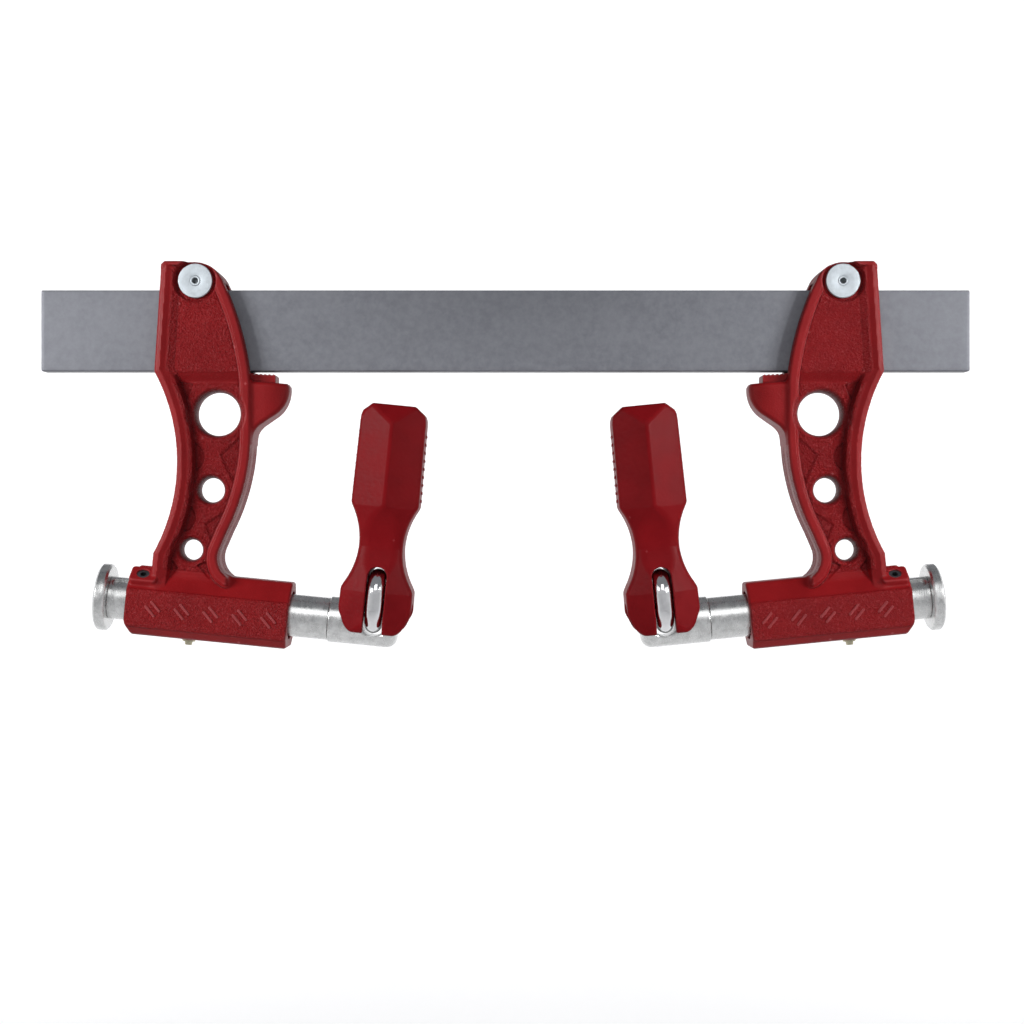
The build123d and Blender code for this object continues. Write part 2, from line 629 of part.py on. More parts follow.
RIB_COUNT = 9
RIB_START = 62.5
RIB_PITCH = 4.0
RIB_LENGTH = 8.0
RIB_WIDTH = 1.6
RIB_FOOT = 16.5  # distance of the ribs' feet and tops from the handle's middle
RIB_TOP = 17.3
PIN_START = -17.0  # the cross pin's two ends, from the pivot
PIN_END = 13.0
HANDLE_SECTIONS = ((-6.0, 21.3), (16.0, 21.3), (38.0, 17.0), (58.0, 20.0), (110.0, 19.2))  # height, radius
with BuildPart() as handle:
    for height, radius in HANDLE_SECTIONS:
        with BuildSketch(handle_section(height)):
            RegularPolygon(radius, 6, rotation=30)
    loft(ruled=True)
    with BuildSketch(handle_profile()):
        with BuildLine():
            Line((0, 108.6), (10.4, 108.6))
            Line((10.4, 108.6), (15.2, 104.8))
            ThreePointArc((15.2, 104.8), (16.4, 102.6), (16.8, 99.9))
            Line((16.8, 99.9), (17.2, 59.4))
            ThreePointArc((17.2, 59.4), (10.9, 38.4), (18.2, 17.2))
            Line((18.2, 17.2), (18.5, 7.0))
            ThreePointArc((18.5, 7.0), (16.6, 1.0), (10.4, -4.6))
            Line((10.4, -4.6), (0, -4.6))
            Line((0, -4.6), (0, 108.6))
        make_face()
        mirror(about=Plane.YZ)
    extrude(amount=30, both=True, mode=Mode.INTERSECT)
    with BuildSketch(section(PIVOT_AT)):
        with BuildLine():
            Line((0, 109.0), (12.0, 109.0))
            Line((12.0, 109.0), (20.0, 98.0))
            Line((20.0, 98.0), (20.4, 58.5))
            ThreePointArc((20.4, 58.5), (12.9, 40.0), (20.6, 21.0))
            Line((20.6, 21.0), (21.2, 3.0))
            Line((21.2, 3.0), (15.0, -5.0))
            Line((15.0, -5.0), (0, -5.0))
            Line((0, -5.0), (0, 109.0))
        make_face()
        mirror(about=Plane.YZ)
    extrude(amount=30, both=True, mode=Mode.INTERSECT)
    # cavity for the T-head, and the two notches that its neck and its end turn in
    with BuildSketch(handle_profile()):
        Circle(CAVITY_R)
    extrude(amount=NOTCH_R, both=True, mode=Mode.SUBTRACT)
    with BuildSketch(section(PIVOT_AT)):
        Circle(NOTCH_R)
        with Locations((0, -10)):
            Rectangle(2 * NOTCH_R, 20)
    extrude(amount=30, both=True, mode=Mode.SUBTRACT)
    # slot for the link
    with BuildSketch(handle_profile()):
        with Locations((0, LINK_TOP + 0.45)):
            Circle(LINK_SLOT)
        with Locations((0, LINK_TOP / 2 - 7)):
            Rectangle(2 * LINK_SLOT, LINK_TOP + 15)
    extrude(amount=30, both=True, mode=Mode.SUBTRACT)
    # blind bore for the cross pin, open towards the arm
    with BuildSketch(section(PIVOT_AT - 25)):
        with Locations((0, CROSS_PIN_Z)):
            Circle(CROSS_PIN_R)
    extrude(amount=25 + PIN_END, mode=Mode.SUBTRACT)
    # grip ribs on the two flat sides
    for side in (-1, 1):
        grip = Plane(origin=PIVOT + ALONG * side * RIB_FOOT, x_dir=SIDE, z_dir=ALONG * side)
        with BuildSketch(grip):
            for i in range(RIB_COUNT):
                with Locations((0, side * (RIB_START + i * RIB_PITCH))):
                    SlotOverall(RIB_LENGTH, RIB_WIDTH)
        extrude(amount=RIB_TOP - RIB_FOOT)
export_pair(handle.part, "handle")

with BuildPart() as cross_pin:
    with BuildSketch(section(PIVOT_AT + PIN_START)):
        with Locations((0, CROSS_PIN_Z)):
            Circle(CROSS_PIN_R)
    extrude(amount=PIN_END - PIN_START)
export_pair(cross_pin.part, "cross_pin")
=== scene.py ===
import json
from math import cos, pi, radians, sin, sqrt, tan

import bmesh
import bpy
import numpy as np
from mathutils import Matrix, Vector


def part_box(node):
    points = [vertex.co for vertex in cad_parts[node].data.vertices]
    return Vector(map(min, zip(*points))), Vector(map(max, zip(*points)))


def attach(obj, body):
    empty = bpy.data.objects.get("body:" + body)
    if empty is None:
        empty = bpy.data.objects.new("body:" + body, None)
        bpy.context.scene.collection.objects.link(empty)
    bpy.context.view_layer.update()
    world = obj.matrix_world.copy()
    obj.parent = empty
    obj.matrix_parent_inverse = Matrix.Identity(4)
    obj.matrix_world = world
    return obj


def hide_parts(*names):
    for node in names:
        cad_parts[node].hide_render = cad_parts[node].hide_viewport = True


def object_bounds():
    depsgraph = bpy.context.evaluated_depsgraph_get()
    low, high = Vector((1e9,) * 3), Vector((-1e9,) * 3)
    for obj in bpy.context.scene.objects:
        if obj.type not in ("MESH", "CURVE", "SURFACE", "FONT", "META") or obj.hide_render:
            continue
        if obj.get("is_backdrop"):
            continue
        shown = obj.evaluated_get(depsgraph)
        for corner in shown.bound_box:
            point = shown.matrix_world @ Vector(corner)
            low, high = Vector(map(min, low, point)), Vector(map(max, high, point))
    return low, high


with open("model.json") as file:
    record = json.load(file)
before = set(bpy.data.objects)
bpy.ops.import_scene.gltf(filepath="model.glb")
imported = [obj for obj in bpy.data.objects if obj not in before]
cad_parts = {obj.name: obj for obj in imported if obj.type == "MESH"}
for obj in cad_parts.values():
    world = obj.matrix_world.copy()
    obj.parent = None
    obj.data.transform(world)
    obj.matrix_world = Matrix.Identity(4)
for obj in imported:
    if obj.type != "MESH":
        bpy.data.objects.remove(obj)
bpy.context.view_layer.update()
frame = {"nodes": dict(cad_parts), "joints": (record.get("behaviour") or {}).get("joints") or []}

import openvdb
from mathutils import Matrix, Vector

MM = 0.001
joints = {joint["name"]: joint for joint in frame["joints"]}


def joint_place(name):
    return np.array(joints[name]["pos_m"]) / MM


AXLE = joint_place("arm_rock_left")
PIVOT = joint_place("handle_fold_left")
TURN_X = (AXLE[0] + joint_place("arm_rock_right")[0]) / 2
ALONG = -np.array(joints["piston_slide_left"]["axis"])
SIDE = np.array((0.0, 1.0, 0.0))
UP = np.cross(ALONG, SIDE)
PIVOT_AT = 121.6
MOUTH = PIVOT - ALONG * PIVOT_AT
SHIFT_X = AXLE[0] + 152.4  # the outlines below are written for an axle at x -152.4, z 24.02
SHIFT_Z = AXLE[2] - 24.02
SPINDLE_TILT = 5.63  # degrees
SCREW_LEAN = 38.0  # degrees from straight up to each set screw

# ------------------------------------------------------------------ distance fields


def round_cut(a, b, r):
    """Both at once, with the edge between them rounded."""
    u = np.maximum(r + a, 0)
    v = np.maximum(r + b, 0)
    return np.minimum(-r, np.maximum(a, b)) + np.sqrt(u * u + v * v)


def round_join(a, b, r):
    """Either of them, with a fillet between."""
    return -round_cut(-a, -b, r)


def higher(a, b, r):
    """The larger of two heights, with a soft valley where they meet."""
    t = np.clip(0.5 + 0.5 * (a - b) / r, 0, 1)
    return b + (a - b) * t + 0.5 * r * t * (1 - t)


def smooth_step(t):
    t = np.clip(t, 0, 1)
    return t * t * (3 - 2 * t)


def arc(a, b, c, count=12):
    """Points on the circle through a, b and c, from a to c."""
    (ax, ay), (bx, by), (cx, cy) = a, b, c
    d = 2 * (ax * (by - cy) + bx * (cy - ay) + cx * (ay - by))
    ux = ((ax**2 + ay**2) * (by - cy) + (bx**2 + by**2) * (cy - ay) + (cx**2 + cy**2) * (ay - by)) / d
    uy = ((ax**2 + ay**2) * (cx - bx) + (bx**2 + by**2) * (ax - cx) + (cx**2 + cy**2) * (bx - ax)) / d
    start, middle, end = (np.arctan2(y - uy, x - ux) for x, y in (a, b, c))
    turn = (end - start) % (2 * pi)
    if (middle - start) % (2 * pi) > turn:
        turn -= 2 * pi
    r = np.hypot(ax - ux, ay - uy)
    angles = start + turn * np.linspace(0, 1, count)
    return [(ux + r * cos(t), uy + r * sin(t)) for t in angles]


def line_distance(x, z, points):
    """Distance to an open line of points."""
    best = None
    for (ax, az), (bx, bz) in zip(points, points[1:]):
        dx, dz = bx - ax, bz - az
        t = np.clip(((x - ax) * dx + (z - az) * dz) / (dx * dx + dz * dz), 0, 1)
        d = (x - ax - t * dx) ** 2 + (z - az - t * dz) ** 2
        best = d if best is None else np.minimum(best, d)
    return np.sqrt(best)


def polygon_distance(x, z, points):
    """Distance to a closed outline, negative inside it."""
    inside = np.zeros(np.broadcast(x, z).shape, bool)
    for (ax, az), (bx, bz) in zip(points, points[1:] + points[:1]):
        if az != bz:
            inside ^= ((az > z) != (bz > z)) & (x < (bx - ax) * (z - az) / (bz - az) + ax)
    d = line_distance(x, z, points + points[:1])
    return np.where(inside, -d, d)


def ripple(x, y, z, seed, length, count=26):
    """A smooth random field of about unit height, with features of this length."""
    rng = np.random.default_rng(seed)
    way = rng.normal(size=(count, 3))
    way /= np.linalg.norm(way, axis=1)[:, None]
    way *= (2 * pi / (length * rng.uniform(0.75, 1.5, count)))[:, None]
    phase = rng.uniform(0, 2 * pi, count)
    total = 0
    for (kx, ky, kz), p in zip(way, phase):
        total = total + np.sin(kx * x + ky * y + kz * z + p)
    return total * sqrt(2 / count)


def field_mesh(name, field, low, high, step, most, place, detail=None, grit=None):
    """A mesh of field(x, y, z) = 0 inside a box. Every vertex is then moved onto detail, the finer field,
    and its normal comes from that field too. place turns the box's own millimetres into the row's metres.
    grit(x, y, z) says how rough the cast skin is, and above 1 how much painted shade it gets; its material
    reads it."""
    low = np.array(low, float)
    counts = np.ceil((np.array(high) - low) / step).astype(int) + 1
    axes = [low[i] + step * np.arange(counts[i]) for i in range(3)]
    values = field(axes[0][:, None, None], axes[1][None, :, None], axes[2][None, None, :])
    band = 3 * step
    grid = openvdb.FloatGrid(band)
    grid.copyFromArray(np.ascontiguousarray(np.clip(values, -band, band), dtype=np.float32))
    points, quads = grid.convertToQuads(0.0)
    mesh = bpy.data.meshes.new(name)
    mesh.from_pydata((points * step + low).tolist(), [], quads.tolist())
    if 2 * len(quads) > most:
        thin = bpy.data.objects.new(name, mesh)
        bpy.context.scene.collection.objects.link(thin)
        fewer = thin.modifiers.new("fewer", "DECIMATE")
        fewer.ratio = most / (2 * len(quads))
        done = thin.evaluated_get(bpy.context.evaluated_depsgraph_get())
        slim = bpy.data.meshes.new_from_object(done)
        bpy.data.objects.remove(thin)
        bpy.data.meshes.remove(mesh)
        mesh = slim
        mesh.name = name
    co = np.empty(len(mesh.vertices) * 3, np.float32)
    mesh.vertices.foreach_get("co", co)
    co = co.reshape(-1, 3).astype(float)
    fine = detail or field
    tiny = 0.02

    def slope(p):
        parts = []
        for i in range(3):
            ahead = p.copy()
            behind = p.copy()
            ahead[:, i] += tiny
            behind[:, i] -= tiny
            parts.append((fine(*ahead.T) - fine(*behind.T)) / (2 * tiny))
        return np.stack(parts, 1)

    for _ in range(2):
        way = slope(co)
        size = np.maximum((way * way).sum(1), 0.2)
        reach = np.clip(fine(*co.T) / size, -0.6 * step, 0.6 * step)
        co -= way * reach[:, None]
    normals = slope(co)
    normals /= np.maximum(np.linalg.norm(normals, axis=1), 1e-6)[:, None]
    if grit:
        layer = mesh.attributes.new("grit", "FLOAT", "POINT")
        layer.data.foreach_set("value", grit(*co.T).astype(np.float32))
    return finished(mesh, co, normals, place)


def finished(mesh, co, normals, place):
    """Puts the vertices where place says and gives them their normals."""
    turn, origin = place
    co = (co @ turn + origin) * MM
    mesh.vertices.foreach_set("co", co.astype(np.float32).ravel())
    mesh.update()
    mesh.shade_smooth()
    mesh.normals_split_custom_set_from_vertices((normals @ turn).tolist())
    return mesh


IN_PLACE = (np.eye(3), np.zeros(3))
SPINDLE = (np.array((ALONG, SIDE, UP)), MOUTH)  # x runs along the spindle from the housing's face
AT_PIVOT = (np.array((ALONG, SIDE, UP)), PIVOT)
AT_AXLE = (np.eye(3), AXLE)

# ------------------------------------------------------------------ turned pieces


def softened(corners, radius, count=5):
    """A closed outline of (distance, radius) corners, each rounded. Corners on the axis stay sharp."""
    out = []
    n = len(corners)
    for i, here in enumerate(corners):
        here = np.array(here, float)
        before = np.array(corners[i - 1], float) - here
        after = np.array(corners[(i + 1) % n], float) - here
        reach_before, reach_after = np.hypot(*before), np.hypot(*after)
        before /= reach_before
        after /= reach_after
        if here[1] < 1e-6 or abs(np.dot(before, after)) > 0.999:
            out.append(tuple(here))
            continue
        half = np.arccos(np.dot(before, after)) / 2
        reach = min(radius / tan(half), 0.45 * reach_before, 0.45 * reach_after)
        r = reach * tan(half)
        middle = before + after
        middle /= np.hypot(*middle)
        centre = here + middle * (r / sin(half))
        a = here + before * reach - centre
        b = here + after * reach - centre
        sweep = np.arctan2(a[0] * b[1] - a[1] * b[0], np.dot(a, b))
        for t in np.linspace(0, 1, count):
            c, s = cos(sweep * t), sin(sweep * t)
            out.append(tuple(centre + (a[0] * c - a[1] * s, a[0] * s + a[1] * c)))
    return out


def turned_mesh(name, corners, place, radius=0.25, segments=128, axis=0):
    """A body turned from a closed outline of (distance, radius), about the local x, or y for axis 1."""
    outline = softened(corners, radius)
    rings = []
    verts = []
    for distance, r in outline:
        if r < 1e-6:
            verts.append((distance, 0, 0))
            rings.append([len(verts) - 1] * segments)
            continue
        first = len(verts)
        for k in range(segments):
            angle = 2 * pi * k / segments
            verts.append((distance, r * cos(angle), r * sin(angle)))
        rings.append(list(range(first, first + segments)))
    faces = []
    n = len(rings)
    for i in range(n):
        a, b = rings[i], rings[(i + 1) % n]
        if a[0] == a[-1] and b[0] == b[-1]:
            continue
        for k in range(segments):
            face = [a[k], a[(k + 1) % segments], b[(k + 1) % segments], b[k]]
            faces.append(tuple(dict.fromkeys(face)))
    co = np.array(verts)
    if axis == 1:
        co = co[:, (2, 0, 1)]
    turn, origin = place
    co = (co @ turn + origin) * MM
    mesh = bpy.data.meshes.new(name)
    mesh.from_pydata(co.tolist(), [], faces)
    outward(mesh)
    mesh.shade_smooth()
    mesh.set_sharp_from_angle(angle=radians(28))
    return mesh


def outward(mesh):
    """Turns every face of a closed mesh to face outward."""
    work = bmesh.new()
    work.from_mesh(mesh)
    bmesh.ops.recalc_face_normals(work, faces=work.faces)
    work.to_mesh(mesh)
    work.free()


# ------------------------------------------------------------------ shader helpers


class Shader:
    """A node material under construction, with short calls for the nodes used here."""

    def __init__(self, name):
        self.material = bpy.data.materials.new(name)
        self.material.use_nodes = True
        self.tree = self.material.node_tree
        self.tree.nodes.clear()
        self.skin = self.node("ShaderNodeBsdfPrincipled")
        out = self.node("ShaderNodeOutputMaterial")
        self.link(self.skin.outputs["BSDF"], out.inputs["Surface"])
        self.place = self.node("ShaderNodeTexCoord").outputs["Object"]

    def node(self, kind, **settings):
        made = self.tree.nodes.new(kind)
        for key, value in settings.items():
            setattr(made, key, value)
        return made

    def link(self, a, b):
        self.tree.links.new(a, b)

    def put(self, socket, value):
        if isinstance(value, bpy.types.NodeSocket):
            self.link(value, socket)
        else:
            socket.default_value = value

    def scaled(self, factors):
        move = self.node("ShaderNodeMapping")
        self.link(self.place, move.inputs["Vector"])
        move.inputs["Scale"].default_value = factors
        return move.outputs["Vector"]

    def noise(self, scale, detail=3.0, rough=0.5, at=None):
        made = self.node("ShaderNodeTexNoise")
        self.link(at or self.place, made.inputs["Vector"])
        made.inputs["Scale"].default_value = scale
        made.inputs["Detail"].default_value = detail
        made.inputs["Roughness"].default_value = rough
        return made.outputs["Fac"]

    def spread(self, value, low, high, to_low=0.0, to_high=1.0):
        made = self.node("ShaderNodeMapRange")
        self.link(value, made.inputs["Value"])
        made.inputs["From Min"].default_value = low
        made.inputs["From Max"].default_value = high
        made.inputs["To Min"].default_value = to_low
        made.inputs["To Max"].default_value = to_high
        return made.outputs["Result"]

    def math(self, operation, a, b=0.0):
        made = self.node("ShaderNodeMath", operation=operation)
        self.put(made.inputs[0], a)
        self.put(made.inputs[1], b)
        return made.outputs[0]

    def mix(self, factor, a, b):
        made = self.node("ShaderNodeMix", data_type="RGBA")
        self.put(made.inputs[0], factor)
        self.put(made.inputs[6], a)
        self.put(made.inputs[7], b)
        return made.outputs[2]

    def bump(self, height, strength, distance, under=None):
        made = self.node("ShaderNodeBump")
        made.inputs["Strength"].default_value = strength
        made.inputs["Distance"].default_value = distance
        self.link(height, made.inputs["Height"])
        if under is not None:
            self.link(under, made.inputs["Normal"])
        return made.outputs["Normal"]

    def part(self, index):
        split = self.node("ShaderNodeSeparateXYZ")
        self.link(self.place, split.inputs[0])
        return split.outputs[index]

    def edges(self, base, edge_highlight, highlight_from, highlight_to, amount):
        """Painted highlight on the outside edges and painted shade in the inside ones: lighter and darker
        paint set by the pointiness.
        """
        point = self.node("ShaderNodeNewGeometry").outputs["Pointiness"]
        # painted shade: darker paint in the concave creases
        base = self.mix(self.spread(point, 0.485, 0.44, 0.0, 0.65), base, colour(0.045, 0.002, 0.003))
        # painted highlight: lighter paint on the convex edges
        return self.mix(self.spread(point, highlight_from, highlight_to, 0.0, amount), base, edge_highlight)

    def set(self, **values):
        for key, value in values.items():
            self.put(self.skin.inputs[key.replace("_", " ")], value)
        return self


def colour(r, g, b):
    return (r, g, b, 1.0)


def cast_red(name="cast_red_paint", mark_highlight=0.0):
    s = Shader(name)
    grit = s.node("ShaderNodeAttribute", attribute_name="grit").outputs["Fac"]
    layer = s.math("MINIMUM", grit, 1.0)
    coarse = s.noise(1250, 2.0, 0.6)
    fine = s.noise(2400, 2.0, 0.5)
    patches = s.noise(45, 3.0, 0.6)
    height = s.math("MULTIPLY", s.math("ADD", coarse, s.math("MULTIPLY", fine, 0.3)), layer)
    skin = s.bump(height, 1.0, 0.0011)
    skin = s.bump(fine, 0.12, 0.0002, skin)
    base = s.mix(s.spread(patches, 0.35, 0.65), colour(0.165, 0.0042, 0.0056), colour(0.20, 0.0056, 0.0072))
    # painted shade in the hollows of the grain, and below it a painted sparkle highlight on the grain's peaks
    pits = s.math("MULTIPLY", s.spread(coarse, 0.45, 0.3, 0.0, 0.5), layer)
    painted_grain_sparkle = s.math("MULTIPLY", s.spread(coarse, 0.56, 0.74, 0.0, 0.55), layer)
    base = s.mix(pits, base, colour(0.075, 0.003, 0.004))
    base = s.mix(painted_grain_sparkle, base, colour(0.30, 0.05, 0.055))
    # painted highlight on the convex edges, painted shade in the creases
    base = s.edges(base, colour(0.34, 0.085, 0.09), 0.52, 0.60, 0.55)
    # painted shade: grit above 1 darkens the deepest pockets and the slope inside the left rim
    base = s.mix(s.spread(grit, 1.0, 2.0, 0.0, 0.6), base, colour(0.06, 0.004, 0.005))
    # painted highlight: lighter paint where this material covers the raised strokes
    base = s.mix(mark_highlight, base, colour(0.40, 0.13, 0.135))
    rough = s.spread(patches, 0.3, 0.7, 0.34, 0.44)
    s.set(Base_Color=base, Roughness=rough, Normal=skin)
    s.skin.inputs["Specular IOR Level"].default_value = 0.12
    return s.material


def moulded_red():
    s = Shader("moulded_red_plastic")
    grain = s.noise(2600, 2.0, 0.5)
    patches = s.noise(70, 2.0, 0.5)
    base = s.mix(s.spread(patches, 0.35, 0.65), colour(0.128, 0.0032, 0.005), colour(0.15, 0.004, 0.006))
    # painted highlight on the handle's ridges and edges, painted shade in its creases
    base = s.edges(base, colour(0.28, 0.055, 0.06), 0.53, 0.64, 0.35)
    rough = s.spread(patches, 0.3, 0.7, 0.36, 0.44)
    s.set(Base_Color=base, Roughness=rough, Normal=s.bump(grain, 0.18, 0.00012))
    s.skin.inputs["Specular IOR Level"].default_value = 0.04
    return s.material


def bar_steel():
    s = Shader("drawn_bar_steel")
    mottle = s.noise(330, 4.0, 0.65)
    clouds = s.noise(60, 3.0, 0.6)
    drag = s.noise(900, 3.0, 0.6, s.scaled((0.05, 1.0, 1.0)))
    base = s.mix(s.spread(clouds, 0.35, 0.65), colour(0.118, 0.122, 0.139), colour(0.132, 0.136, 0.153))
    base = s.mix(s.spread(mottle, 0.35, 0.7, 0.0, 0.7), base, colour(0.175, 0.18, 0.20))
    rough = s.spread(mottle, 0.3, 0.7, 0.5, 0.64)
    skin = s.bump(mottle, 0.3, 0.0002)
    skin = s.bump(drag, 0.15, 0.0001, skin)
    s.set(Base_Color=base, Roughness=rough, Normal=skin)
    s.skin.inputs["Metallic"].default_value = 0.4
    return s.material


def metal(name, tone, rough, mottle_scale, lathe=None, depth=0.00006, dark=0.8):
    """Plated or turned metal. lathe is a pitch in metres for fine lines along the spindle."""
    s = Shader(name)
    mottle = s.noise(mottle_scale, 4.0, 0.65)
    scratch = s.noise(700, 3.0, 0.6, s.scaled((1.0, 0.12, 0.12)))
    low = colour(*(c * dark for c in tone))
    base = s.mix(s.spread(mottle, 0.3, 0.7), low, colour(*tone))
    skin = s.bump(mottle, 0.12, depth)
    if lathe:
        lines = s.node("ShaderNodeTexWave", wave_type="BANDS", bands_direction="X", wave_profile="SIN")
        turn = s.node("ShaderNodeMapping")
        s.link(s.place, turn.inputs["Vector"])
        turn.inputs["Rotation"].default_value = (0.0, -radians(SPINDLE_TILT), 0.0)
        s.link(turn.outputs["Vector"], lines.inputs["Vector"])
        lines.inputs["Scale"].default_value = pi / (10 * lathe)
        lines.inputs["Distortion"].default_value = 0.6
        lines.inputs["Detail"].default_value = 1.0
        skin = s.bump(lines.outputs["Fac"], 0.1, depth, skin)
    rough_map = s.spread(s.math("ADD", mottle, scratch), 0.7, 1.35, rough * 0.75, rough * 1.35)
    s.set(Base_Color=base, Roughness=rough_map, Normal=skin)
    s.skin.inputs["Metallic"].default_value = 1.0
    return s.material


def rubber():
    s = Shader("black_rubber")
    fine = s.noise(1500, 3.0, 0.6)
    base = s.mix(fine, colour(0.012, 0.012, 0.013), colour(0.03, 0.03, 0.032))
    s.set(Base_Color=base, Roughness=s.spread(fine, 0.3, 0.7, 0.6, 0.8), Normal=s.bump(fine, 0.2, 0.0001))
    return s.material


MATERIALS = {
    "bar_steel": bar_steel(),
    "cast_red": cast_red(),
    "highlight_red": cast_red("highlight_red_paint", 0.22),
    "moulded_red": moulded_red(),
    "zinc_steel": metal("zinc_plated_steel", (0.47, 0.51, 0.54), 0.5, 520, dark=0.78),
    "turned_steel": metal("turned_zinc_steel", (0.70, 0.705, 0.70), 0.27, 260, 0.0009, 0.00006, 0.72),
    "dark_steel": metal("dark_steel", (0.16, 0.16, 0.17), 0.36, 400),
    "polished_steel": metal("polished_steel", (0.80, 0.80, 0.81), 0.12, 150, dark=0.85),
    "bronze": metal("cast_bronze", (0.55, 0.33, 0.13), 0.35, 300),
    "yellow_zinc": metal("yellow_zinc", (0.50, 0.46, 0.33), 0.25, 400),
    "rubber": rubber(),
}

# ------------------------------------------------------------------ placing pieces
HALF_TURN = Matrix.Translation((2 * TURN_X * MM, 0, 0)) @ Matrix.Diagonal((-1, -1, 1, 1))


def show(name, mesh, body, node, slot, paint=None):
    """Puts one finished mesh on its body, in the place of its CAD node."""
    piece = bpy.data.objects.new(name, mesh)
    bpy.context.scene.collection.objects.link(piece)
    mesh.materials.clear()
    mesh.materials.append(MATERIALS[paint or slot])
    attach(piece, body)
    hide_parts(node)
    return piece


def show_pair(name, mesh, body, node, slot, paint=None):
    """The left piece and its half-turned twin. name, body and node come without their side."""
    twin = mesh.copy()
    twin.transform(HALF_TURN)
    if mesh.has_custom_normals:
        n = np.empty(len(mesh.corner_normals) * 3, np.float32)
        mesh.corner_normals.foreach_get("vector", n)
        twin.normals_split_custom_set((n.reshape(-1, 3) * (-1, -1, 1)).tolist())
    show(name + "_left", mesh, body + "_left", node + "_left", slot, paint)
    show(name + "_right", twin, body + "_right", node + "_right", slot, paint)


# ------------------------------------------------------------------ arm
ARM_LEFT_EDGE = [(-172.8, -109.7)] + arc((-172.8, -109.7), (-161.2, -65.5), (-172.3, -20.6), 28)[1:]
ARM_LEFT_EDGE += [(-168.9, 31.8)]
ARM_LEFT_SIDE = [(-174.5, -127.0)] + ARM_LEFT_EDGE
ARM_TOP_EDGE = [(-168.9, 31.8), (-167.2, 33.5)] + arc((-155.4, 33.5), (-145.6, 31.6), (-139.8, 25.9), 10)
ARM_RIGHT_EDGE = arc((-139.8, 25.9), (-130.6, 2.0), (-125.3, -25.5), 16)
ARM_RIGHT_EDGE += arc((-125.0, -50.0), (-128.3, -77.0), (-136.9, -99.7), 16)
ARM_RIGHT_EDGE += arc((-140.3, -107.6), (-141.2, -114.5), (-136.5, -121.6), 10)
ARM_OUTLINE = ARM_LEFT_EDGE + ARM_TOP_EDGE[1:] + ARM_RIGHT_EDGE[1:] + [(-136.5, -127.0), (-174.5, -127.0)]
HOLES = ((-142.1, -41.1, 10.7), (-145.2, -78.8, 6.0), (-155.0, -108.3, 5.0))
PANEL_HALF, WEB_HALF = 9.9, 6.9
LEFT_RIM_AT = (0.0, 0.5, 2.9, 7.1, 7.4, 8.9, 9.6)
LEFT_RIM_WEB = (12.3, 12.5, 13.0, 10.9, 10.7, 5.0, 3.0)
LEFT_RIM_PANEL = (12.3, 12.5, 13.0, 11.0, 10.8, 10.3, 9.9)
RIGHT_RIM_AT = (0.0, 3.7, 4.3, 5.0, 6.4)
RIGHT_RIM = (13.0, 13.0, 12.2, 12.0, 6.0)
PIT_DEPTH, HOLLOW_DEPTH = 4.2, 2.4
PITS = ((-155.9, -62.4, 7.2), (-159.6, -92.4, 6.6))
CORNER_PITS = (
    [(-165.0, -25.0), (-154.6, -27.0), (-156.0, -30.5), (-160.2, -38.0)],
    [(-151.0, -116.0), (-144.8, -113.8), (-145.6, -122.0)],
    [(-170.0, -108.0), (-162.2, -117.0), (-167.0, -124.0)],
)
HOLLOWS = (
    [(-139.6, -61.5), (-129.0, -52.2), (-129.6, -62.0), (-133.0, -76.0)],
    [(-147.2, -96.0), (-136.0, -88.6), (-139.0, -97.0), (-143.4, -106.0)],
)
HOUSING_CORNERS = (
    (6.0, 16.3),
    (15.0, 6.0),
    (15.0, -11.7),
    (10.4, -16.3),
)
HOUSING_LENGTH = 80.0
NOSE = [(-129.0, -25.0), (-107.8, -26.3)] + arc((-106.7, -27.8), (-108.4, -36.2), (-114.4, -42.6), 10)
NOSE += arc((-120.0, -46.4), (-123.4, -50.0), (-124.9, -56.0), 8) + [(-129.0, -56.0)]
SLOT = [(-180.0, 21.6), (-160.0, 21.6), (-158.6, 28.6), (-146.2, 28.6), (-144.8, 23.6), (-105.0, 23.6)]
SLOT += [(-105.0, -21.5), (-126.0, -21.5), (-154.0, -20.4), (-154.0, -20.04), (-180.0, -20.04)]
TOOTH_PITCH, TOOTH_HEIGHT, JAW_START, JAW_END = 2.1, 0.6, -126.0, -113.4


def spindle_coordinates(x, y, z):
    dx, dz = x - MOUTH[0], z - MOUTH[2]
    return dx * ALONG[0] + dz * ALONG[2], y, dx * UP[0] + dz * UP[2]


